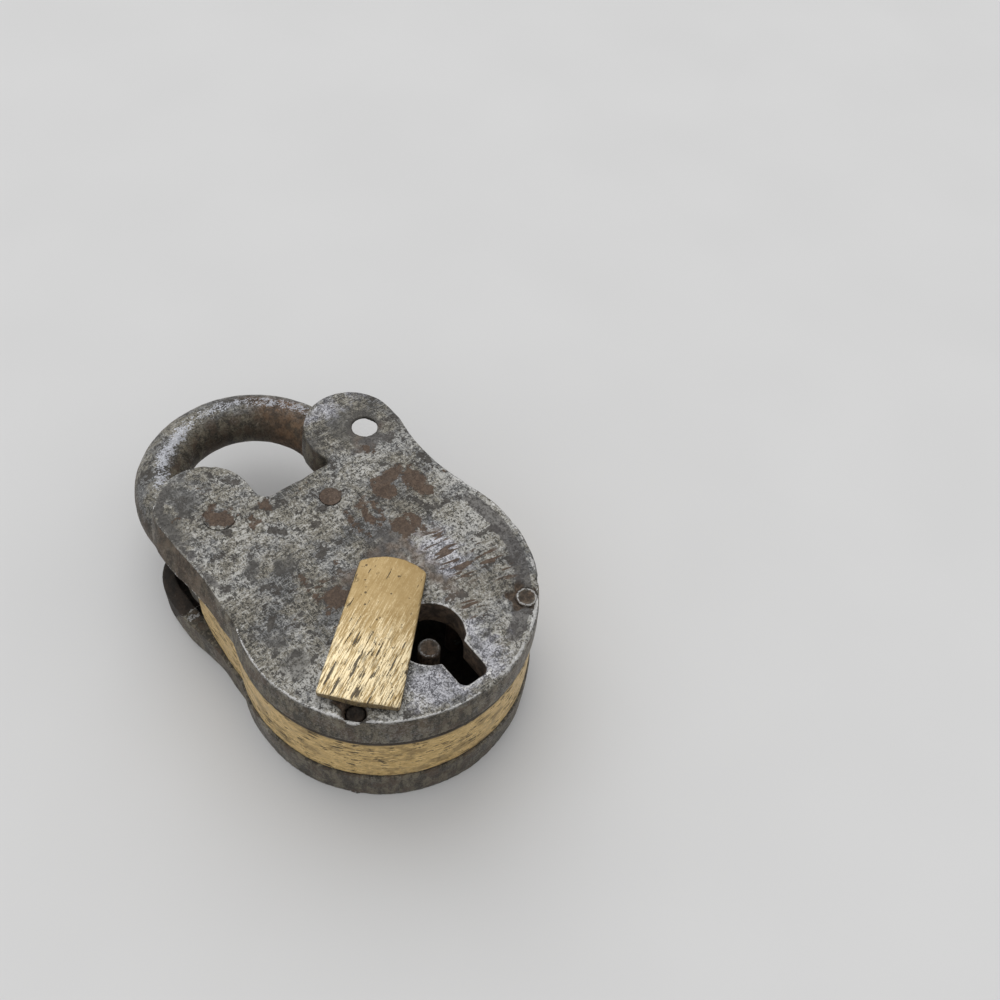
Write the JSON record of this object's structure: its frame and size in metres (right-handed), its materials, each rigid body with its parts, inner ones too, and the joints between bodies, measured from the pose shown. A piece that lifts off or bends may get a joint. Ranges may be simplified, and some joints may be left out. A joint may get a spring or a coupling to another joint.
{
  "type": "padlock",
  "caption": "Heart-shaped iron lever padlock with a brass rim, a hinged round shackle and a swinging brass keyhole cover, rusted and worn.",
  "frame": {"origin": "on the back plate's outer face, under the centre of the round body", "axes": "+Z out of the front face, +Y towards the shackle, +X towards the ear that takes the shackle's toe; the lock lies on its back"},
  "size_m": [0.086, 0.1442, 0.0466],
  "materials": {
    "iron_plate": "mottled dark iron, rust-brown patches, edges worn bright",
    "iron_bar": "dark forged iron, worn bright on the crown, rusty underneath",
    "rivet_iron": "rust-brown, hammered flush",
    "brass": "old scratched brass with dark marks",
    "inner_iron": "dark, rusty",
    "inner_brass": "dull tarnished brass",
    "spring_steel": "dark spring steel"
  },
  "bodies": {
    "case": {"front_plate": "iron_plate", "back_plate": "iron_plate", "brass_rim": "brass", "top_bridge": "inner_iron", "shackle_rivet": "rivet_iron", "heel_washer_front": "inner_iron", "heel_washer_back": "inner_iron", "drill_pin": "inner_iron", "bolt_guide_post": "inner_iron", "bolt_sleeve": "inner_iron", "lever_post": "inner_iron", "lever_stop": "inner_iron", "upper_rivet": "rivet_iron", "right_rim_rivet": "rivet_iron", "left_rim_rivet": "rivet_iron"},
    "shackle": {"shackle": "iron_bar"},
    "cover": {"keyhole_cover": "brass", "cover_washer": "brass"},
    "bolt": {"bolt": "inner_brass", "bolt_stump": "inner_iron"},
    "lever_1": {"lever_1": "inner_brass", "lever_spring_1": "spring_steel"},
    "lever_2": {"lever_2": "inner_brass", "lever_spring_2": "spring_steel"},
    "lever_3": {"lever_3": "inner_brass", "lever_spring_3": "spring_steel"}
  },
  "joints": [
    {"name": "shackle_hinge", "type": "hinge", "parent": "case", "child": "shackle", "pos_m": [-0.024, 0.046, 0.0229], "axis": [0, 0, 1], "range_deg": [0, 63]},
    {"name": "cover_swing", "type": "hinge", "parent": "case", "child": "cover", "pos_m": [0.0002, -0.0014, 0.0437], "axis": [0, 0, 1], "continuous": true},
    {"name": "bolt_slide", "type": "slide", "parent": "case", "child": "bolt", "axis": [1, 0, 0], "range_m": [0, 0.007]},
    {"name": "lever_1_lift", "type": "hinge", "parent": "case", "child": "lever_1", "pos_m": [-0.029, 0.002, 0.0279], "axis": [0, 0, 1], "range_deg": [-3, 3], "stiffness_Nm_per_rad": 0.02},
    {"name": "lever_2_lift", "type": "hinge", "parent": "case", "child": "lever_2", "pos_m": [-0.029, 0.002, 0.0306], "axis": [0, 0, 1], "range_deg": [-3, 3], "stiffness_Nm_per_rad": 0.02},
    {"name": "lever_3_lift", "type": "hinge", "parent": "case", "child": "lever_3", "pos_m": [-0.029, 0.002, 0.0333], "axis": [0, 0, 1], "range_deg": [-3, 3], "stiffness_Nm_per_rad": 0.02}
  ]
}
